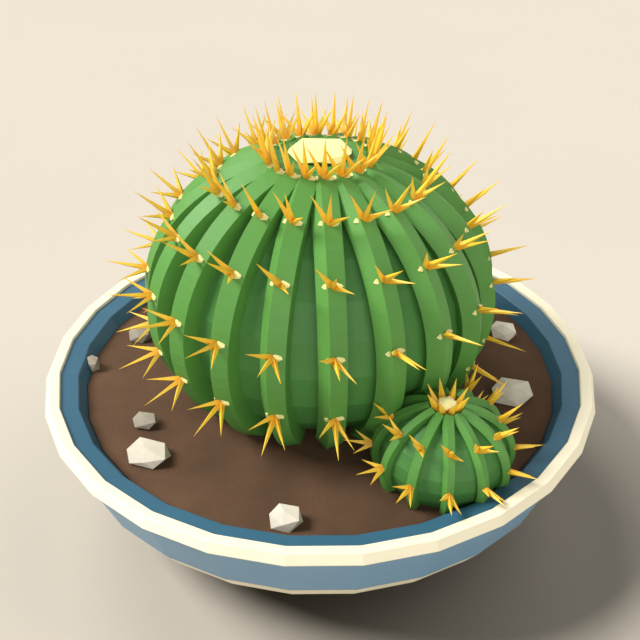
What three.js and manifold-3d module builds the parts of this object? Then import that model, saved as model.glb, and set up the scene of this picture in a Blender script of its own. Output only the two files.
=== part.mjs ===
// A potted round cactus: a large ribbed globe with a small pup beside it, in a wide shallow bowl
// of dark soil with a few pale stones. Everything is cut in plain flat facets.
// Millimetres, +Z up, origin at the bottom centre of the bowl's foot, front toward -Y.
// Azimuths are in degrees from the front (-Y), turning toward +X.
import * as THREE from 'three';
import { ConvexGeometry } from 'three/addons/geometries/ConvexGeometry.js';
import { mergeVertices } from 'three/addons/utils/BufferGeometryUtils.js';
import Module from 'manifold-3d';

const wasm = await Module();
wasm.setup();

// ---- driving dimensions -------------------------------------------------------------------

// Bowl: a polygon of this many flats, one of them square to the front
const BOWL_SIDES = 28;
const RIM_RADIUS = 160;            // to the polygon's corners
const RIM_HEIGHT = 80.9;
const LEDGE_Z = 76.2;              // flat step inside the rim
const LEDGE_RADIUS = 141.8;        // its inner edge
const SOIL_Z = 69;                 // top of the soil
const SOIL_RADIUS = 137.7;         // inside of the wall at that height
const FLOOR_Z = 14;                // inside of the bowl's bottom
const FLOOR_RADIUS = 96;
const FOOT_RADIUS = 95;
const GAP = 0.4;                   // clearance between neighbours

// Large cactus: the ribs are even bars laid along the meridians of an ellipsoid
const RIBS = 20;
const RIB_AZIMUTH = 3.67;          // of the rib nearest the front
const BODY_Z = 125.5;              // centre of the ellipsoid
const RIB_A = 91;                  // its half-width
const RIB_B = 77.7;                // its half-height
const RIB_R = 7.7;                 // radius of a bar's five-sided section
const RIB_TOP = 76;                // latitude at which the bars end
const CORE_A = 87.2;               // body between the ribs
const CORE_B = 73.9;
const LEVELS = [73, 56.4, 34.3, 11.7, -12.6];
const CROWN_Z = 206.6;             // flat top that carries the wool
const ROOT_R = 44;                 // root ball under the soil's surface
const ROOT_DEPTH = 30;

// Small cactus: the same plant at a smaller scale, with fewer ribs
const PUP = new THREE.Vector3(61.7, -88.9, 81.5);
const PUP_RIBS = 12;
const PUP_AZIMUTH = -2.8;
const PUP_SCALE = 0.3753;
const PUP_RIB_R = 3.1;
const PUP_LEVELS = [42, 6.5];
const PUP_SPINE_SCALE = 0.62;
const PUP_CROWN_Z = 110.2;
const PUP_CROWN_SPINES = 8;
const PUP_CROWN_TURN = 16;         // azimuth of the first of them
const PUP_ROOT_R = 17;
const PUP_ROOT_DEPTH = 14;

// Spines of one areole: tips in mm along [outward, to the right, up the rib]
const SPINE_TIPS = [[24.9, 0, 0], [15.5, -8.8, 6.9], [15.3, 8.7, -6.6]];
const SPINE_FOOT_R = 1.6;          // corner radius of a needle at its foot
const FOOT_OUT = 3.5;              // height of the feet above the bar's centre line
const TIPS_OUT = 5.5;              // height that the tips are counted from

// Wool on the crowns: flattened twenty-faced lumps, [half-width, half-height]
const WOOL = [19.3, 2.6];
const PUP_WOOL = [5.4, 3];

// Stones are one rough twelve-cornered form at several sizes: its corners, from the top down,
// as [x, y, z] in half-sizes
const STONE_FORM = [
  [-0.09, 0.01, 0.87],
  [0.77, -0.2, 0.7], [0.22, 0.88, 0.48], [-0.65, 0.6, 0.44], [-0.51, -0.45, 0.2], [0.23, -0.96, 0.52],
  [0.72, 0.53, -0.45], [-0.28, 0.85, -0.45], [-0.89, 0.11, -0.37], [-0.3, -0.77, -0.5], [0.76, -0.61, -0.44],
  [0, 0, -1],
];
const STONE_CENTRE = 3;            // height of the form's centre above the soil
// [x, y, half-sizes along x, y and z, turn]
const STONES = [
  [-91.4, -78.5, 12, 13, 4.6, 41],
  [-97.1, -51.8, 7.2, 7.7, 3.6, 47],
  [-18, -126, 9.1, 8.3, 6.5, 39],
  [-136.7, 1.8, 4.6, 5.7, 6.1, 23],
  [-113.1, 32.9, 8, 7.5, 5.5, 41],
  [116.4, 34.2, 8.4, 9.3, 5.9, 36],
  [109.9, -28.7, 13.8, 12.5, 6.1, 38],
];

// ---- geometry helpers ---------------------------------------------------------------------

const rad = THREE.MathUtils.degToRad;
const UP = new THREE.Vector3(0, 0, 1);

// closed geometry -> solid
function solid(geometry) {
  const bare = geometry.clone();
  bare.deleteAttribute('normal');
  bare.deleteAttribute('uv');
  const merged = mergeVertices(bare, 1e-4);
  return new wasm.Manifold(new wasm.Mesh({
    numProp: 3,
    vertProperties: new Float32Array(merged.attributes.position.array),
    triVerts: new Uint32Array(merged.index.array),
  }));
}

// solid -> geometry
function surface(body) {
  const mesh = body.getMesh();
  const geometry = new THREE.BufferGeometry();
  geometry.setAttribute('position', new THREE.BufferAttribute(new Float32Array(mesh.vertProperties), 3));
  geometry.setIndex(new THREE.BufferAttribute(new Uint32Array(mesh.triVerts), 1));
  geometry.computeVertexNormals();
  return geometry;
}

// joins a list of solids, two by two
function joined(solids) {
  let list = solids;
  while (list.length > 1) {
    const next = [];
    for (let i = 0; i < list.length; i += 2) {
      next.push(i + 1 < list.length ? list[i].add(list[i + 1]) : list[i]);
    }
    list = next;
  }
  return list[0];
}

// the largest separate body of a solid
function largest(body) {
  return body.decompose().sort((a, b) => b.volume() - a.volume())[0];
}

// turns a [radius, z] profile about Z, with corners half a flat off the front
function turned(profile, sides) {
  const points = profile.map(([r, z]) => new THREE.Vector2(r, z));
  return new THREE.LatheGeometry(points, sides, Math.PI / sides, 2 * Math.PI).rotateX(Math.PI / 2);
}

function cylinder(radius, bottom, top, sides) {
  return new THREE.CylinderGeometry(radius, radius, top - bottom, sides)
    .rotateX(Math.PI / 2)
    .translate(0, 0, (top + bottom) / 2);
}

// a cylinder under one of the plants
function under(plant, radius, bottom, top) {
  return solid(cylinder(radius, bottom, top, plant.rootSides).translate(plant.at.x, plant.at.y, 0));
}

// twenty-faced lump with a corner straight up and another toward the front
function lump() {
  return new THREE.IcosahedronGeometry(1, 0).rotateX(Math.atan(2 / (1 + Math.sqrt(5))));
}

// ---- plant helpers ------------------------------------------------------------------------

// line that a rib's centre follows up the body, in the XZ plane
class Meridian extends THREE.Curve {
  constructor(plant) {
    super();
    this.plant = plant;
  }

  getPoint(u, target = new THREE.Vector3()) {
    const angle = rad(this.plant.ribFrom + (RIB_TOP - this.plant.ribFrom) * u);
    return target.set(this.plant.ribA * Math.cos(angle), 0, this.plant.ribB * Math.sin(angle));
  }
}

// five-sided bar along a meridian, its ridge a little left of the middle
function rib(plant, azimuth, swell) {
  const radius = plant.ribR + swell;
  const section = new THREE.Shape();
  for (let k = 0; k < 5; k += 1) {
    const angle = rad(72 * k);
    const across = radius * Math.cos(angle);
    const outward = radius * Math.sin(angle);
    if (k === 0) {
      section.moveTo(across, outward);
    } else {
      section.lineTo(across, outward);
    }
  }
  return new THREE.ExtrudeGeometry(section, { steps: plant.ribSteps, extrudePath: new Meridian(plant) })
    .rotateZ(rad(azimuth - 90))
    .translate(plant.at.x, plant.at.y, plant.at.z);
}

// faceted ellipsoid inside the ribs, in rings of 15 degrees, with its corners under the ribs
function core(plant, swell) {
  const toCorner = 1 / Math.cos(Math.PI / plant.ribs);
  const wide = (plant.coreA + swell) * toCorner;
  const high = plant.coreB + swell;
  const profile = [[0, -high * Math.sin(rad(60))]];
  for (let latitude = -60; latitude < 90; latitude += 15) {
    profile.push([wide * Math.cos(rad(latitude)), high * Math.sin(rad(latitude))]);
  }
  profile.push([0, high]);
  return turned(profile, plant.ribs)
    .rotateZ(rad(plant.azimuth) + Math.PI / plant.ribs)
    .translate(plant.at.x, plant.at.y, plant.at.z);
}

function ribbed(plant, swell = 0) {
  const parts = [solid(core(plant, swell))];
  for (let k = 0; k < plant.ribs; k += 1) {
    parts.push(solid(rib(plant, plant.azimuth + (360 / plant.ribs) * k, swell)));
  }
  return joined(parts);
}

// centre of a rib at a latitude, with the directions out of it, to its right and up along it
function ribFrame(plant, azimuth, latitude) {
  const angle = rad(latitude);
  const turn = rad(azimuth);
  const slope = new THREE.Vector2(Math.cos(angle) / plant.ribA, Math.sin(angle) / plant.ribB).normalize();
  const radial = new THREE.Vector3(Math.sin(turn), -Math.cos(turn), 0);
  return {
    centre: plant.at.clone()
      .addScaledVector(radial, plant.ribA * Math.cos(angle))
      .addScaledVector(UP, plant.ribB * Math.sin(angle)),
    out: radial.clone().multiplyScalar(slope.x).addScaledVector(UP, slope.y),
    right: new THREE.Vector3(Math.cos(turn), Math.sin(turn), 0),
    along: radial.clone().multiplyScalar(-slope.y).addScaledVector(UP, slope.x),
  };
}

// four-sided needle
function needle(foot, tip, radius) {
  const axis = tip.clone().sub(foot);
  const turn = new THREE.Quaternion().setFromUnitVectors(UP, axis.clone().normalize());
  return solid(new THREE.ConeGeometry(radius, axis.length(), 4)
    .rotateX(Math.PI / 2)
    .applyQuaternion(turn)
    .translate((foot.x + tip.x) / 2, (foot.y + tip.y) / 2, (foot.z + tip.z) / 2));
}

// foot and tip of the three spines at one place on a rib
function areole(plant, azimuth, latitude) {
  const frame = ribFrame(plant, azimuth, latitude);
  const foot = frame.centre.clone().addScaledVector(frame.out, FOOT_OUT * plant.ribR / RIB_R);
  const size = plant.spineScale;
  return SPINE_TIPS.map(([out, right, up]) => {
    const tip = frame.centre.clone()
      .addScaledVector(frame.out, TIPS_OUT * plant.ribR / RIB_R + out * size)
      .addScaledVector(frame.right, right * size)
      .addScaledVector(frame.along, up * size);
    return { foot, tip };
  });
}

function allAreoles(plant) {
  const list = [];
  plant.levels.forEach((latitude) => {
    for (let k = 0; k < plant.ribs; k += 1) {
      list.push(...areole(plant, plant.azimuth + (360 / plant.ribs) * k, latitude));
    }
  });
  return list;
}

// ---- the two plants -----------------------------------------------------------------------

const big = {
  at: new THREE.Vector3(0, 0, BODY_Z),
  azimuth: RIB_AZIMUTH,
  ribs: RIBS,
  ribA: RIB_A,
  ribB: RIB_B,
  ribR: RIB_R,
  ribFrom: -52,
  ribSteps: 10,
  coreA: CORE_A,
  coreB: CORE_B,
  levels: LEVELS,
  spineScale: 1,
  spineR: SPINE_FOOT_R,
  rootSides: 24,
};
const pup = {
  at: PUP,
  azimuth: PUP_AZIMUTH,
  ribs: PUP_RIBS,
  ribA: RIB_A * PUP_SCALE,
  ribB: RIB_B * PUP_SCALE,
  ribR: PUP_RIB_R,
  ribFrom: -35,
  ribSteps: 8,
  coreA: CORE_A * PUP_SCALE,
  coreB: CORE_B * PUP_SCALE,
  levels: PUP_LEVELS,
  spineScale: PUP_SPINE_SCALE,
  spineR: SPINE_FOOT_R,
  rootSides: 16,
};

// how deep a point lies in a plant's outer ellipsoid, below 1 inside it
function depthIn(plant, point, margin) {
  const offset = point.clone().sub(plant.at);
  const wide = plant.ribA + plant.ribR + margin;
  const high = plant.ribB + plant.ribR + margin;
  return Math.hypot(offset.x / wide, offset.y / wide, offset.z / high);
}

// bends a spine to pass the other plant by a margin, or gives null when it would stand inside it
function clearOf(other, spine, margin) {
  if (depthIn(other, spine.foot, 1) < 1) {
    return null;
  }
  const tip = spine.tip.clone();
  const push = spine.foot.clone().sub(other.at).normalize();
  for (let step = 0; step < 30; step += 1) {
    const free = [0.25, 0.5, 0.75, 1].every((share) => {
      const point = spine.foot.clone().lerp(tip, share);
      return depthIn(other, point, margin) > 1;
    });
    if (free) {
      return { foot: spine.foot, tip };
    }
    tip.addScaledVector(push, 0.6);
  }
  return null;
}

// narrowest gap between two spines, from points along them
function spacing(one, other) {
  let least = Infinity;
  for (let i = 0; i <= 12; i += 1) {
    const point = one.foot.clone().lerp(one.tip, i / 12);
    for (let j = 0; j <= 12; j += 1) {
      const apart = point.distanceTo(other.foot.clone().lerp(other.tip, j / 12));
      least = Math.min(least, apart - SPINE_FOOT_R * (2 - (i + j) / 12));
    }
  }
  return least;
}

// lifts or lowers a spine's tip until it passes the spines of the other plant
function passing(others, spine) {
  for (let lift = 0; lift < 9; lift += 0.5) {
    for (const side of [1, -1]) {
      const bent = { foot: spine.foot, tip: spine.tip.clone().addScaledVector(UP, side * lift) };
      if (others.every((other) => spacing(bent, other) > 0.6)) {
        return bent;
      }
    }
  }
  return spine;
}

function needles(plant, spines) {
  return spines.map(({ foot, tip }) => needle(foot, tip, plant.spineR));
}

// flat seat for the wool on a crown
function crown(plant, radius, height, depth) {
  return solid(cylinder(radius, height - depth, height, plant.ribs)
    .rotateZ(rad(plant.azimuth))
    .translate(plant.at.x, plant.at.y, 0));
}

const ground = solid(new THREE.BoxGeometry(400, 400, 100).translate(0, 0, SOIL_Z - 50));

const bigSpines = allAreoles(big).map((spine) => clearOf(pup, spine, 3.5)).filter((spine) => spine);
const bigBody = ribbed(big)
  .add(crown(big, 24, CROWN_Z, 14))
  .subtract(crown(big, 20.5, CROWN_Z + 12, 12));
const cactus = joined([bigBody, ...needles(big, bigSpines)])
  .subtract(ground)
  .add(under(big, ROOT_R, SOIL_Z - ROOT_DEPTH, SOIL_Z + 1));

// spines in a ring around the small plant's crown, leaning outward
const ringSpines = [];
for (let k = 0; k < PUP_CROWN_SPINES; k += 1) {
  const turn = rad(PUP_CROWN_TURN + (360 / PUP_CROWN_SPINES) * k);
  const radial = new THREE.Vector3(Math.sin(turn), -Math.cos(turn), 0);
  const foot = new THREE.Vector3(PUP.x, PUP.y, PUP_CROWN_Z - 1.5).addScaledVector(radial, 6);
  const tip = foot.clone().addScaledVector(radial, 5).addScaledVector(UP, 10.1);
  ringSpines.push({ foot, tip });
}

const pupSpines = allAreoles(pup)
  .map((spine) => clearOf(big, spine, 1.5))
  .filter((spine) => spine)
  .map((spine) => passing(bigSpines, spine));
const ledgeRoom = solid(turned([
  [SOIL_RADIUS - GAP, SOIL_Z - 1], [RIM_RADIUS, SOIL_Z - 1], [RIM_RADIUS, LEDGE_Z + GAP],
  [LEDGE_RADIUS - GAP, LEDGE_Z + GAP], [SOIL_RADIUS - GAP, SOIL_Z], [SOIL_RADIUS - GAP, SOIL_Z - 1],
], BOWL_SIDES));
const pupBody = ribbed(pup)
  .add(crown(pup, 8, PUP_CROWN_Z, 5))
  .subtract(crown(pup, 7, PUP_CROWN_Z + 6, 6));
const smallCactus = largest(joined([pupBody, ...needles(pup, [...pupSpines, ...ringSpines])])
  .subtract(ground)
  .subtract(ledgeRoom)
  .subtract(ribbed(big, GAP)))
  .add(under(pup, PUP_ROOT_R, SOIL_Z - PUP_ROOT_DEPTH, SOIL_Z + 1));

// wool on a crown, its underside cut flat to rest there
function wool(plant, height, [halfWidth, halfHeight], turn) {
  const seat = solid(new THREE.BoxGeometry(60, 60, 20).translate(plant.at.x, plant.at.y, height - 10));
  const shape = lump()
    .scale(halfWidth, halfWidth, halfHeight)
    .rotateZ(rad(turn))
    .translate(plant.at.x, plant.at.y, height + halfHeight * 0.6);
  return solid(shape).subtract(seat);
}

// ---- bowl, soil and stones ----------------------------------------------------------------

const bowlProfile = [
  [0, 0],
  [FOOT_RADIUS, 0],
  [118, 14],
  [138.4, 31.1],                    // lower edge of the pale band
  [146.5, 43.5],                    // its upper edge
  [155.8, 71.6],                    // under the rim
  [RIM_RADIUS, 75.7],
  [157.4, RIM_HEIGHT],
  [151.7, RIM_HEIGHT - 0.9],
  [151, LEDGE_Z],
  [LEDGE_RADIUS, LEDGE_Z],
  [SOIL_RADIUS, SOIL_Z],
  [133, 55],
  [120, 35],
  [FLOOR_RADIUS, FLOOR_Z],
  [0, FLOOR_Z],
];
const soilProfile = [
  [0, FLOOR_Z],
  [FLOOR_RADIUS - GAP, FLOOR_Z],
  [120 - GAP, 35],
  [133 - GAP, 55],
  [SOIL_RADIUS - GAP, SOIL_Z],
  [0, SOIL_Z],
];
const soil = solid(turned(soilProfile, BOWL_SIDES))
  .subtract(under(big, ROOT_R + GAP, SOIL_Z - ROOT_DEPTH, SOIL_Z + 1))
  .subtract(under(pup, PUP_ROOT_R + GAP, SOIL_Z - PUP_ROOT_DEPTH, SOIL_Z + 1));

// rough stone, cut flat where it lies on the soil and where it leans on the wall
function stone([x, y, halfX, halfY, halfZ, turn]) {
  const corners = STONE_FORM.map((corner) => new THREE.Vector3(...corner));
  const shape = new ConvexGeometry(corners)
    .scale(halfX, halfY, halfZ)
    .rotateZ(rad(turn))
    .translate(x, y, SOIL_Z + STONE_CENTRE);
  return largest(solid(shape).subtract(ground).subtract(ledgeRoom));
}

// ---- scene graph --------------------------------------------------------------------------

const group = new THREE.Group();

function add(name, geometry, color, roughness) {
  const mesh = new THREE.Mesh(geometry, new THREE.MeshStandardMaterial({ color, roughness, metalness: 0 }));
  mesh.name = name;
  group.add(mesh);
}

const GREEN = 0x5aa04a;
const CREAM = 0xf4e8c4;
add('bowl', turned(bowlProfile, BOWL_SIDES), 0x4c7a98, 0.5);
add('soil', surface(soil), 0x5e4636, 0.95);
add('cactus', surface(cactus), GREEN, 0.7);
add('cactus_wool', surface(wool(big, CROWN_Z, WOOL, -3.7)), CREAM, 0.9);
add('small_cactus', surface(smallCactus), GREEN, 0.7);
add('small_cactus_wool', surface(wool(pup, PUP_CROWN_Z, PUP_WOOL, 12)), CREAM, 0.9);
STONES.forEach((entry, index) => {
  add(`stone_${index + 1}`, surface(stone(entry)), 0xcfc8b8, 0.9);
});

export default group;
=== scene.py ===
"""Potted round cactus: a ribbed globe and its pup in a shallow glazed bowl, all in flat facets.

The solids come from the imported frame. This script dresses them: it models the glazed bowl's
colour bands, the plants' ribs, woolly pads and spines, and gives every surface its finish.
Sizes and the making functions are in millimetres, and a shape is brought to metres when its
piece is finished. The camera and the floor are in metres. Azimuths are degrees from the front
(-Y) toward +X, and latitudes are degrees above the middle of a plant's globe.
"""
import math
from types import SimpleNamespace

import bmesh
import bpy
from mathutils import Matrix, Vector


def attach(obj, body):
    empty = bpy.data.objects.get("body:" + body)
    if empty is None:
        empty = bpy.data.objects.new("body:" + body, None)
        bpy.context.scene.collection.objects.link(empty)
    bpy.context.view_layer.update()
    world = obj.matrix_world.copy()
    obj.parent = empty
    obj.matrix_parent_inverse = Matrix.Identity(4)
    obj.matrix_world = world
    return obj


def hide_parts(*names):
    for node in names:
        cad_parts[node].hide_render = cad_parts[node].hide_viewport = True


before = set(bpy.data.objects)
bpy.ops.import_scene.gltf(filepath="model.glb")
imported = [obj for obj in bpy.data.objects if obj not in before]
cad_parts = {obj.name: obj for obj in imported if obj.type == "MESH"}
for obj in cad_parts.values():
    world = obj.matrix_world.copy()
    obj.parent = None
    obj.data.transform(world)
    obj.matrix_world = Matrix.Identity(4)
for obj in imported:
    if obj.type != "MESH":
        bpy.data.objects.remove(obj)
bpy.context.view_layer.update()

scene = bpy.context.scene
MM = 0.001


# ---- camera -------------------------------------------------------------------------------

CAMERA_AT = (-0.00448, -0.43223, 0.386778)
CAMERA_DOWN = 33.2275    # degrees that it looks down
CAMERA_TURN = -0.592     # degrees that it is turned to the left


def set_camera():
    """A 50 mm view from above the front, as in the photograph."""
    data = bpy.data.cameras.new("view")
    data.lens = 50.0
    data.sensor_width = 36.0
    data.clip_start = 0.01
    camera = bpy.data.objects.new("view", data)
    camera.location = CAMERA_AT
    camera.rotation_euler = (math.radians(90 - CAMERA_DOWN), 0.0, math.radians(CAMERA_TURN))
    scene.collection.objects.link(camera)
    scene.camera = camera


set_camera()


# ---- bowl sizes ---------------------------------------------------------------------------
# Each section is a list of (radius, height), turned about Z.

BOWL_SIDES = 28
EDGE_SOFTNESS = 0.35
SAME_PLACE = 0.001       # points closer than this are merged
RIM_SECTION = [(151.66, 80.0), (150.7, 74.3), (155.8, 71.6), (160.0, 75.66), (157.4, 80.86)]
WALL_SECTION = [(155.9, 72.5), (146.5, 43.5), (134.0, 43.5), (144.0, 72.5)]
LEDGE_SECTION = [
    (153.0, 78.6), (144.0, 72.5), (134.0, 43.5), (124.8, 43.5), (133.0, 55.0), (137.7, 69.0),
    (141.77, 76.2),
]
FOOT_SECTION = [
    (0.0, 0.0), (95.0, 0.0), (118.0, 14.0), (138.4, 31.1), (146.5, 43.5), (124.8, 43.5),
    (120.0, 35.0), (96.0, 14.0), (0.0, 14.0),
]

# ---- plant sizes --------------------------------------------------------------------------
# at, azimuth         the globe's centre, and the direction of its first rib
# rib_a, rib_b        half width and half height of the globe that the ribs' centre lines lie on
# rib_r               radius of a rib's five-sided section
# low, top, steps     latitudes where a rib starts and ends, and how many lengths it is made of
# core_a, core_b      half width and half height of the core between the ribs
# seat                radius, top and depth of the flat disc under the wool on the crown
# levels              latitudes of the areoles
# feet_out            how far the spines' feet and the pads stand over the ribs' centre lines
# spine_scale         size of the spines against SPINE_TIPS
# spine_r             radius of a spine's foot
# pad_half            half sizes of a woolly pad: across the rib, along it and outward
# foot_gap, past_gap  how far feet and spines keep outside the other plant, or below 0 inside

BIG = SimpleNamespace(
    at=Vector((0.0, 0.0, 125.5)), azimuth=3.67, ribs=20,
    rib_a=91.0, rib_b=77.7, rib_r=7.7, low=-52.0, top=76.0, steps=30,
    core_a=88.0, core_b=73.9, seat=(24.0, 206.6, 14.0),
    levels=(73.0, 55.1, 35.0, 11.7, -12.6), feet_out=5.5,
    spine_scale=1.0, spine_r=1.95, pad_half=(5.8, 2.3, 1.5), foot_gap=3.5, past_gap=3.5,
)
PUP_SCALE = 0.3753
PUP = SimpleNamespace(
    at=Vector((61.7, -88.9, 81.5)), azimuth=-2.8, ribs=12,
    rib_a=BIG.rib_a * PUP_SCALE, rib_b=BIG.rib_b * PUP_SCALE, rib_r=3.1,
    low=-35.0, top=76.0, steps=20,
    core_a=BIG.core_a * PUP_SCALE, core_b=BIG.core_b * PUP_SCALE, seat=(8.0, 110.2, 5.0),
    levels=(42.0, 6.5), feet_out=2.2,
    spine_scale=0.62, spine_r=2.0, pad_half=(2.2, 1.2, 0.9), foot_gap=-1.0, past_gap=-5.5,
)
CUT_Z = 68.0             # the plants are cut here, 1 mm under the soil's surface
CORE_RINGS = 12
RIB_SIDES = 5
SPINE_SIDES = 4
SPINE_TIPS = [(0.0, 0.0, 24.9), (-8.8, 6.3, 15.5), (8.8, -6.1, 15.3)]  # right, along, outward

# The ring of spines round the wool on the pup's crown: turn is the azimuth of its first spine,
# lean is how far a tip stands outside its foot, and rise is how far it stands above it.
PUP_RING = SimpleNamespace(
    spines=8, turn=16.0, foot_r=5.0, foot_z=109.4, lean=6.0, rise=11.3, spine_r=2.4,
)

# How spines get past the other plant and its spines.
BEND_SHARES = (0.5, 0.75, 1.0)   # points along a spine that have to be clear of the other plant
BEND_STEP, BEND_TRIES = 0.6, 30
SPACING_STEPS = 12
LIFT_STEP, LIFT_TRIES = 0.5, 18
SPINE_GAP = 0.4
SPINE_REACH = 60.0       # spines whose feet are further apart than this can't meet


# ---- finishes -----------------------------------------------------------------------------

def linear(red, green, blue):
    """A colour given in 0-255 display values, as the shader's linear RGBA."""
    def channel(value):
        value /= 255.0
        return value / 12.92 if value <= 0.04045 else ((value + 0.055) / 1.055) ** 2.4
    return channel(red), channel(green), channel(blue), 1.0


MIX_A, MIX_B, MIX_RESULT = 6, 7, 2   # a Mix node's colour sockets
GRAIN_SHARE = 0.5        # how much the grain adds to the patches of tone
RELIEF_STRENGTH = 0.6


def mottle_group():
    """Soft uneven tone over a surface, and its fine grain as a height for the relief."""
    group = bpy.data.node_groups.new("mottle", "ShaderNodeTree")
    face = group.interface
    face.new_socket("Light tone", in_out="INPUT", socket_type="NodeSocketColor")
    face.new_socket("Dark tone", in_out="INPUT", socket_type="NodeSocketColor")
    face.new_socket("Patch scale", in_out="INPUT", socket_type="NodeSocketFloat")
    face.new_socket("Grain scale", in_out="INPUT", socket_type="NodeSocketFloat")
    face.new_socket("Tone", in_out="OUTPUT", socket_type="NodeSocketColor")
    face.new_socket("Relief", in_out="OUTPUT", socket_type="NodeSocketFloat")
    nodes, links = group.nodes, group.links
    given = nodes.new("NodeGroupInput")
    result = nodes.new("NodeGroupOutput")
    place = nodes.new("ShaderNodeTexCoord")
    patches = nodes.new("ShaderNodeTexNoise")
    patches.inputs["Detail"].default_value = 3.0
    grain = nodes.new("ShaderNodeTexNoise")
    grain.inputs["Detail"].default_value = 5.0
    grain.inputs["Roughness"].default_value = 0.65
    spread = nodes.new("ShaderNodeMapRange")
    spread.inputs["From Min"].default_value = 0.3
    spread.inputs["From Max"].default_value = 0.7
    fine = nodes.new("ShaderNodeMath")
    fine.operation = "MULTIPLY_ADD"
    fine.inputs[1].default_value = GRAIN_SHARE
    shift = nodes.new("ShaderNodeMath")
    shift.operation = "SUBTRACT"
    shift.inputs[1].default_value = GRAIN_SHARE / 2
    shift.use_clamp = True
    tone = nodes.new("ShaderNodeMix")
    tone.data_type = "RGBA"
    links.new(place.outputs["Object"], patches.inputs["Vector"])
    links.new(place.outputs["Object"], grain.inputs["Vector"])
    links.new(given.outputs["Patch scale"], patches.inputs["Scale"])
    links.new(given.outputs["Grain scale"], grain.inputs["Scale"])
    links.new(patches.outputs["Fac"], spread.inputs["Value"])
    links.new(grain.outputs["Fac"], fine.inputs[0])
    links.new(spread.outputs["Result"], fine.inputs[2])
    links.new(fine.outputs["Value"], shift.inputs[0])
    links.new(shift.outputs["Value"], tone.inputs["Factor"])
    links.new(given.outputs["Dark tone"], tone.inputs[MIX_A])
    links.new(given.outputs["Light tone"], tone.inputs[MIX_B])
    links.new(tone.outputs[MIX_RESULT], result.inputs["Tone"])
    links.new(grain.outputs["Fac"], result.inputs["Relief"])
    return group


MOTTLE = mottle_group()


def finish(name, light, dark, roughness, patch, grain, relief, specular, sheen=0.0, carry=1.0):
    """A mottled surface with fine relief.

    Patch and grain count the cells of the mottle and of its grain to the metre, relief is the
    grain's height in metres, and carry is the share of its tone that the surface throws around.
    """
    material = bpy.data.materials.new(name)
    material.use_nodes = True
    nodes, links = material.node_tree.nodes, material.node_tree.links
    shader = nodes["Principled BSDF"]
    shader.inputs["Roughness"].default_value = roughness
    shader.inputs["Specular IOR Level"].default_value = specular
    shader.inputs["Sheen Weight"].default_value = sheen
    mottle = nodes.new("ShaderNodeGroup")
    mottle.node_tree = MOTTLE
    mottle.inputs["Light tone"].default_value = light
    mottle.inputs["Dark tone"].default_value = dark
    mottle.inputs["Patch scale"].default_value = patch
    mottle.inputs["Grain scale"].default_value = grain
    bump = nodes.new("ShaderNodeBump")
    bump.inputs["Strength"].default_value = RELIEF_STRENGTH
    bump.inputs["Distance"].default_value = relief
    links.new(mottle.outputs["Tone"], shader.inputs["Base Color"])
    links.new(mottle.outputs["Relief"], bump.inputs["Height"])
    links.new(bump.outputs["Normal"], shader.inputs["Normal"])
    if carry < 1.0:
        path = nodes.new("ShaderNodeLightPath")
        thrown = nodes.new("ShaderNodeMix")
        thrown.data_type = "RGBA"
        thrown.blend_type = "MULTIPLY"
        thrown.inputs[MIX_B].default_value = (carry, carry, carry, 1.0)
        links.new(path.outputs["Is Diffuse Ray"], thrown.inputs["Factor"])
        links.new(mottle.outputs["Tone"], thrown.inputs[MIX_A])
        links.new(thrown.outputs[MIX_RESULT], shader.inputs["Base Color"])
    return material


def glaze(name, light, dark, carry):
    return finish(name, light, dark, roughness=0.45, patch=12.0, grain=140.0, relief=0.00008,
                  specular=0.5, carry=carry)


def flesh(name, light, dark):
    return finish(name, light, dark, roughness=0.55, patch=18.0, grain=300.0, relief=0.0001,
                  specular=0.35)


def wool(name, light, dark):
    return finish(name, light, dark, roughness=0.9, patch=80.0, grain=900.0, relief=0.0003,
                  specular=0.1, sheen=0.2)


def stone(name, light, dark):
    return finish(name, light, dark, roughness=0.8, patch=70.0, grain=500.0, relief=0.0002,
                  specular=0.25)


def spine_finish():
    """Golden horn, with painted shade that deepens its tone toward the foot, where the spines meet.
    """
    material = finish("golden_spine", linear(244, 200, 56), linear(236, 188, 44), roughness=0.5,
                      patch=60.0, grain=500.0, relief=0.00005, specular=0.5)
    nodes, links = material.node_tree.nodes, material.node_tree.links
    shader = nodes["Principled BSDF"]
    mottle = next(node for node in nodes if node.type == "GROUP")
    along = nodes.new("ShaderNodeUVMap")
    along.uv_map = "along"
    split = nodes.new("ShaderNodeSeparateXYZ")
    # painted shade: this ramp darkens the spine's colour toward its foot, where the spines meet
    foot_shade_ramp = nodes.new("ShaderNodeValToRGB")
    foot_shade_ramp.color_ramp.elements[0].position = 0.05
    foot_shade_ramp.color_ramp.elements[0].color = linear(240, 200, 150)
    foot_shade_ramp.color_ramp.elements[1].position = 0.35
    foot_shade_ramp.color_ramp.elements[1].color = (1.0, 1.0, 1.0, 1.0)
    shade = nodes.new("ShaderNodeMix")
    shade.data_type = "RGBA"
    shade.blend_type = "MULTIPLY"
    shade.inputs["Factor"].default_value = 1.0
    links.new(along.outputs["UV"], split.inputs["Vector"])
    links.new(split.outputs["Y"], foot_shade_ramp.inputs["Fac"])
    links.new(mottle.outputs["Tone"], shade.inputs[MIX_A])
    links.new(foot_shade_ramp.outputs["Color"], shade.inputs[MIX_B])
    links.new(shade.outputs[MIX_RESULT], shader.inputs["Base Color"])
    return material


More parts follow.
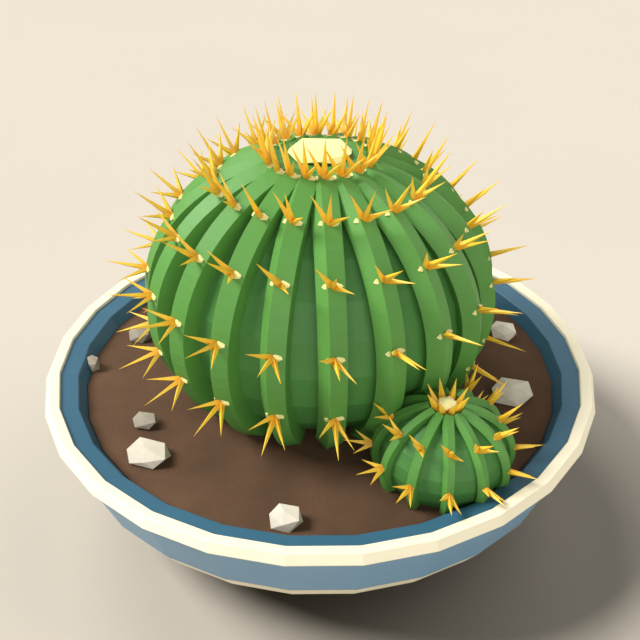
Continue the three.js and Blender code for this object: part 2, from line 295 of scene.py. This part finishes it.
GLAZE_PALE = glaze("pale_blue_glaze", linear(112, 146, 169), linear(106, 140, 163), carry=0.1)
GLAZE_BLUE = glaze("blue_glaze", linear(50, 96, 119), linear(46, 92, 114), carry=0.5)
GLAZE_CREAM = glaze("cream_glaze", linear(240, 230, 199), linear(233, 222, 190), carry=0.1)
SOIL = finish("potting_soil", linear(97, 72, 54), linear(82, 61, 45), roughness=0.95,
              patch=30.0, grain=420.0, relief=0.0006, specular=0.15)
FLESH = flesh("green_flesh", linear(87, 143, 63), linear(82, 136, 58))
# The core between the ribs is the green flesh painted darker: painted shade for the grooves between
# the ribs.
GROOVE_SHADE_FLESH = flesh("green_flesh_groove_shade", linear(74, 130, 61), linear(69, 123, 57))
SPINE = spine_finish()
WOOL = wool("cream_wool", linear(229, 222, 148), linear(221, 212, 138))
# The pup's wool is the wool painted brighter: painted light that stands in for the key light the
# big plant keeps off the pup's crown.
PUP_WOOL_PAINTED_LIGHT = wool("wool_painted_light", linear(255, 246, 176), linear(252, 240, 166))
PALE_STONE = stone("pale_stone", linear(226, 216, 196), linear(208, 199, 180))
SAND_STONE = stone("sandy_stone", linear(206, 196, 177), linear(190, 181, 163))
GREY_STONE = stone("grey_stone", linear(158, 149, 131), linear(143, 134, 118))
FLOOR = finish("pale_floor", linear(200, 191, 176), linear(199, 190, 175), roughness=0.9,
               patch=4.0, grain=60.0, relief=0.0, specular=0.0)


# ---- making pieces ------------------------------------------------------------------------

def piece(name, mesh, material, slot, *nodes):
    """Turns a shape in millimetres into a finished piece in place of the named solids."""
    bmesh.ops.scale(mesh, vec=(MM, MM, MM), verts=mesh.verts)
    data = bpy.data.meshes.new(name)
    mesh.to_mesh(data)
    mesh.free()
    data.materials.append(material)
    made = bpy.data.objects.new(name, data)
    scene.collection.objects.link(made)
    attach(made, "root")
    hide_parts(*nodes)


def turned_ring(section, soft=EDGE_SOFTNESS):
    """Turns a section about Z into a faceted ring and takes off its edges by the softness."""
    mesh = bmesh.new()
    start = Matrix.Rotation(math.pi / BOWL_SIDES, 4, "Z")
    points = [mesh.verts.new(start @ Vector((0.0, -r, z))) for r, z in section]
    closed = section[0][0] > 0.0
    pairs = list(zip(points, points[1:])) + ([(points[-1], points[0])] if closed else [])
    edges = [mesh.edges.new(pair) for pair in pairs]
    bmesh.ops.spin(mesh, geom=points + edges, cent=(0, 0, 0), axis=(0, 0, 1), angle=2 * math.pi,
                   steps=BOWL_SIDES, use_merge=True)
    bmesh.ops.remove_doubles(mesh, verts=mesh.verts, dist=SAME_PLACE)
    bmesh.ops.recalc_face_normals(mesh, faces=mesh.faces)
    if soft:
        bmesh.ops.bevel(mesh, geom=mesh.edges, offset=soft, offset_type="OFFSET", affect="EDGES",
                        segments=1, profile=0.5, material=-1)
    return mesh


def rib_place(plant, azimuth, latitude, above=0.0):
    """Place over a rib's centre line: X to the right, Y up along the rib, Z outward."""
    angle, turn = math.radians(latitude), math.radians(azimuth)
    slope = Vector((math.cos(angle) / plant.rib_a, math.sin(angle) / plant.rib_b)).normalized()
    radial = Vector((math.sin(turn), -math.cos(turn), 0.0))
    up = Vector((0.0, 0.0, 1.0))
    out = radial * slope.x + up * slope.y
    right = Vector((math.cos(turn), math.sin(turn), 0.0))
    along = up * slope.x - radial * slope.y
    centre = (plant.at + radial * plant.rib_a * math.cos(angle)
              + up * plant.rib_b * math.sin(angle) + out * above)
    place = Matrix((right, along, out)).transposed().to_4x4()
    place.translation = centre
    return place


def lay_rib(mesh, plant, azimuth):
    """Lays one five-sided bar along a meridian, its ridge to the left, up to the crown."""
    stand = Matrix.Rotation(math.radians(-90), 4, "X")
    reach = plant.top - plant.low
    places = [rib_place(plant, azimuth, plant.low + reach * k / plant.steps) @ stand
              for k in range(plant.steps + 1)]
    ridge_left = Matrix.Rotation(math.radians(90), 4, "Z")
    made = bmesh.ops.create_circle(mesh, cap_ends=True, segments=RIB_SIDES, radius=plant.rib_r,
                                   matrix=places[0] @ Matrix.Scale(-1, 4, (0, 1, 0)) @ ridge_left)
    cap = made["verts"][0].link_faces[0]
    for before, after in zip(places, places[1:]):
        grown = bmesh.ops.extrude_face_region(mesh, geom=[cap])["geom"]
        fresh = [item for item in grown if isinstance(item, bmesh.types.BMVert)]
        cap = next(item for item in grown if isinstance(item, bmesh.types.BMFace))
        bmesh.ops.transform(mesh, matrix=after @ before.inverted(), verts=fresh)


def cut_at_soil(mesh):
    """Cuts a plant flat just under the soil's surface and closes the cut."""
    whole = list(mesh.verts) + list(mesh.edges) + list(mesh.faces)
    bmesh.ops.bisect_plane(mesh, geom=whole, plane_co=(0, 0, CUT_Z), plane_no=(0, 0, 1),
                           clear_inner=True)
    bmesh.ops.holes_fill(mesh, edges=mesh.edges, sides=0)


def azimuths(plant):
    """The directions of a plant's ribs."""
    return [plant.azimuth + 360.0 / plant.ribs * k for k in range(plant.ribs)]


def ribs_shape(plant):
    mesh = bmesh.new()
    for azimuth in azimuths(plant):
        lay_rib(mesh, plant, azimuth)
    bmesh.ops.recalc_face_normals(mesh, faces=mesh.faces)
    cut_at_soil(mesh)
    return mesh


def core_shape(plant):
    """The body between the ribs, a faceted ellipsoid, and the flat seat of the crown's wool."""
    mesh = bmesh.new()
    form = (Matrix.Translation(plant.at)
            @ Matrix.Rotation(math.radians(plant.azimuth - 90.0), 4, "Z")
            @ Matrix.Diagonal((plant.core_a, plant.core_a, plant.core_b, 1.0)))
    bmesh.ops.create_uvsphere(mesh, u_segments=plant.ribs, v_segments=CORE_RINGS, radius=1.0,
                              matrix=form)
    cut_at_soil(mesh)
    radius, height, depth = plant.seat
    flat = (Matrix.Translation((plant.at.x, plant.at.y, height - depth / 2))
            @ Matrix.Rotation(math.radians(plant.azimuth), 4, "Z"))
    bmesh.ops.create_cone(mesh, cap_ends=True, segments=plant.ribs, radius1=radius, radius2=radius,
                          depth=depth, matrix=flat)
    return mesh


def spine(mesh, foot, tip, radius):
    """Lays one four-sided needle."""
    axis = tip - foot
    place = axis.to_track_quat("Z", "Y").to_matrix().to_4x4()
    place.translation = (foot + tip) / 2
    bmesh.ops.create_cone(mesh, cap_ends=True, segments=SPINE_SIDES, radius1=radius, radius2=0.0,
                          depth=axis.length, matrix=place)


def areole_spines(plant):
    """Foot and tip of the three spines at every areole."""
    grown = []
    for latitude in plant.levels:
        for azimuth in azimuths(plant):
            place = rib_place(plant, azimuth, latitude, plant.feet_out)
            for right, up, out in SPINE_TIPS:
                tip = place @ (Vector((right, up, out)) * plant.spine_scale)
                grown.append((place.translation.copy(), tip))
    return grown


def ring_spines():
    """Foot and tip of the spines round the wool on the pup's crown."""
    grown = []
    for k in range(PUP_RING.spines):
        turn = math.radians(PUP_RING.turn + 360.0 / PUP_RING.spines * k)
        radial = Vector((math.sin(turn), -math.cos(turn), 0.0))
        foot = Vector((PUP.at.x, PUP.at.y, PUP_RING.foot_z)) + radial * PUP_RING.foot_r
        grown.append((foot, foot + radial * PUP_RING.lean + Vector((0.0, 0.0, PUP_RING.rise))))
    return grown


def depth_in(plant, point, gap):
    """Below 1 where a point lies less than a gap outside the globe round a plant's ribs."""
    away = point - plant.at
    wide, high = plant.rib_a + plant.rib_r + gap, plant.rib_b + plant.rib_r + gap
    return math.sqrt((away.x / wide) ** 2 + (away.y / wide) ** 2 + (away.z / high) ** 2)


def clear_of(other, plant):
    """A plant's spines that start clear of the other plant, with their tips pushed away from it."""
    kept = []
    for foot, tip in areole_spines(plant):
        if depth_in(other, foot, plant.foot_gap) < 1.0:
            continue
        push = (foot - other.at).normalized() * BEND_STEP
        for _ in range(BEND_TRIES):
            points = [foot.lerp(tip, share) for share in BEND_SHARES]
            if all(depth_in(other, point, plant.past_gap) > 1.0 for point in points):
                break
            tip = tip + push
        kept.append((foot, tip))
    return kept


def spacing(one, other, radius):
    """Narrowest gap between two tapering spines, from points along them."""
    shares = [k / SPACING_STEPS for k in range(SPACING_STEPS + 1)]
    least = math.inf
    for share in shares:
        point = one[0].lerp(one[1], share)
        for other_share in shares:
            apart = (point - other[0].lerp(other[1], other_share)).length
            least = min(least, apart - radius * (2 - share - other_share))
    return least


def passing(spines, others, radius):
    """Lifts the tips of the spines that would meet the spines of the other plant."""
    bent = []
    for foot, tip in spines:
        near = [other for other in others if (other[0] - foot).length < SPINE_REACH]
        tries = [tip + Vector((0.0, 0.0, LIFT_STEP * k)) for k in range(LIFT_TRIES)]
        free = (point for point in tries
                if all(spacing((foot, point), other, radius) > SPINE_GAP for other in near))
        bent.append((foot, next(free, tip)))
    return bent


def mark_along(mesh):
    """Writes a UV map that runs from 0 at a spine's foot to 1 at its tip, where its sides meet; the
    spine finish paints shade along it toward the foot.
    """
    layer = mesh.loops.layers.uv.new("along")
    for face in mesh.faces:
        for loop in face.loops:
            is_tip = len(loop.vert.link_faces) == SPINE_SIDES
            loop[layer].uv = (0.5, 1.0 if is_tip else 0.0)


def spines_shape(spines, radius):
    mesh = bmesh.new()
    for foot, tip in spines:
        spine(mesh, foot, tip, radius)
    bmesh.ops.recalc_face_normals(mesh, faces=mesh.faces)
    mark_along(mesh)
    return mesh


def pads_shape(plant, other):
    """Woolly pads that lie over the ribs: flattened twenty-faced lumps."""
    mesh = bmesh.new()
    form = Matrix.Diagonal((*plant.pad_half, 1.0))
    for latitude in plant.levels:
        for azimuth in azimuths(plant):
            place = rib_place(plant, azimuth, latitude, plant.feet_out)
            if depth_in(other, place.translation, plant.foot_gap) > 1.0:
                bmesh.ops.create_icosphere(mesh, subdivisions=1, radius=1.0, matrix=place @ form)
    return mesh


# ---- bowl ---------------------------------------------------------------------------------

piece("bowl_wall", turned_ring(WALL_SECTION), GLAZE_PALE, "glaze", "bowl")
piece("bowl_ledge", turned_ring(LEDGE_SECTION), GLAZE_BLUE, "glaze", "bowl")
piece("bowl_rim", turned_ring(RIM_SECTION), GLAZE_CREAM, "glaze_cream", "bowl")
piece("bowl_foot", turned_ring(FOOT_SECTION, soft=0.0), GLAZE_CREAM, "glaze_cream", "bowl")

# ---- plants -------------------------------------------------------------------------------

big_spines = clear_of(PUP, BIG)
piece("cactus_ribs", ribs_shape(BIG), FLESH, "flesh", "cactus")
piece("cactus_core", core_shape(BIG), GROOVE_SHADE_FLESH, "flesh", "cactus")
piece("cactus_spines", spines_shape(big_spines, BIG.spine_r), SPINE, "spine", "cactus")
piece("cactus_pads", pads_shape(BIG, PUP), WOOL, "wool", "cactus")

pup_spines = passing(clear_of(BIG, PUP), big_spines, PUP.spine_r)
piece("pup_ribs", ribs_shape(PUP), FLESH, "flesh", "small_cactus")
piece("pup_core", core_shape(PUP), GROOVE_SHADE_FLESH, "flesh", "small_cactus")
piece("pup_spines", spines_shape(pup_spines, PUP.spine_r), SPINE, "spine", "small_cactus")
piece("pup_crown_spines", spines_shape(ring_spines(), PUP_RING.spine_r), SPINE, "spine",
      "small_cactus")
piece("pup_pads", pads_shape(PUP, BIG), WOOL, "wool", "small_cactus")

# ---- finishes of the imported solids --------------------------------------------------------

# The pup's crown wool gets the brighter wool, which is painted light.
SOLID_FINISHES = {
    "soil": SOIL, "cactus_wool": WOOL, "small_cactus_wool": PUP_WOOL_PAINTED_LIGHT,
    "stone_1": SAND_STONE, "stone_2": GREY_STONE, "stone_3": PALE_STONE, "stone_4": GREY_STONE,
    "stone_5": GREY_STONE, "stone_6": PALE_STONE, "stone_7": PALE_STONE,
}
for name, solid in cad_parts.items():
    used = SOLID_FINISHES.get(name)
    if used:
        solid.data.materials.clear()
        solid.data.materials.append(used)


# ---- floor and light ----------------------------------------------------------------------

FLOOR_HALF = 9.0         # half the side of the floor


def lay_floor():
    mesh = bmesh.new()
    bmesh.ops.create_grid(mesh, x_segments=4, y_segments=4, size=FLOOR_HALF)
    data = bpy.data.meshes.new("floor")
    mesh.to_mesh(data)
    mesh.free()
    data.materials.append(FLOOR)
    floor = bpy.data.objects.new("floor", data)
    scene.collection.objects.link(floor)
    return floor


def soft_sun(name, azimuth, height, strength, spread):
    """A distant lamp at an azimuth and a height, as wide as its spread in radians."""
    turn, rise = math.radians(azimuth), math.radians(height)
    level = math.cos(rise)
    away = Vector((math.sin(turn) * level, -math.cos(turn) * level, math.sin(rise)))
    data = bpy.data.lights.new(name, "SUN")
    data.energy = strength * math.pi
    data.angle = spread
    lamp = bpy.data.objects.new(name, data)
    lamp.rotation_euler = (-away).to_track_quat("-Z", "Y").to_euler()
    scene.collection.objects.link(lamp)
    return lamp


def spare(lamp, surface):
    """Keeps a lamp's light off one surface, so that a fill doesn't wash out the shadow on it."""
    spared = bpy.data.collections.new(lamp.name + " spares")
    spared.objects.link(surface)
    lamp.light_linking.receiver_collection = spared
    spared.collection_objects[0].light_linking.link_state = "EXCLUDE"


def set_light(floor):
    """Three soft lamps, a front fill, and a pale room that is seen but gives no light."""
    world = bpy.data.worlds.new("studio")
    scene.world = world
    world.use_nodes = True
    room = world.node_tree.nodes["Background"]
    room.inputs["Color"].default_value = linear(242, 232, 214)
    world.cycles_visibility.diffuse = False
    world.cycles_visibility.glossy = False
    world.cycles_visibility.transmission = False
    world.cycles_visibility.scatter = False
    soft_sun("key", azimuth=265.2, height=44.4, strength=1.45, spread=0.46)
    soft_sun("right", azimuth=124.8, height=24.6, strength=0.56, spread=1.5)
    soft_sun("back", azimuth=210.6, height=47.0, strength=0.38, spread=0.52)
    fill = soft_sun("fill", azimuth=10.0, height=14.0, strength=0.86, spread=1.4)
    spare(fill, floor)
    scene.view_settings.view_transform = "Standard"


set_light(lay_floor())
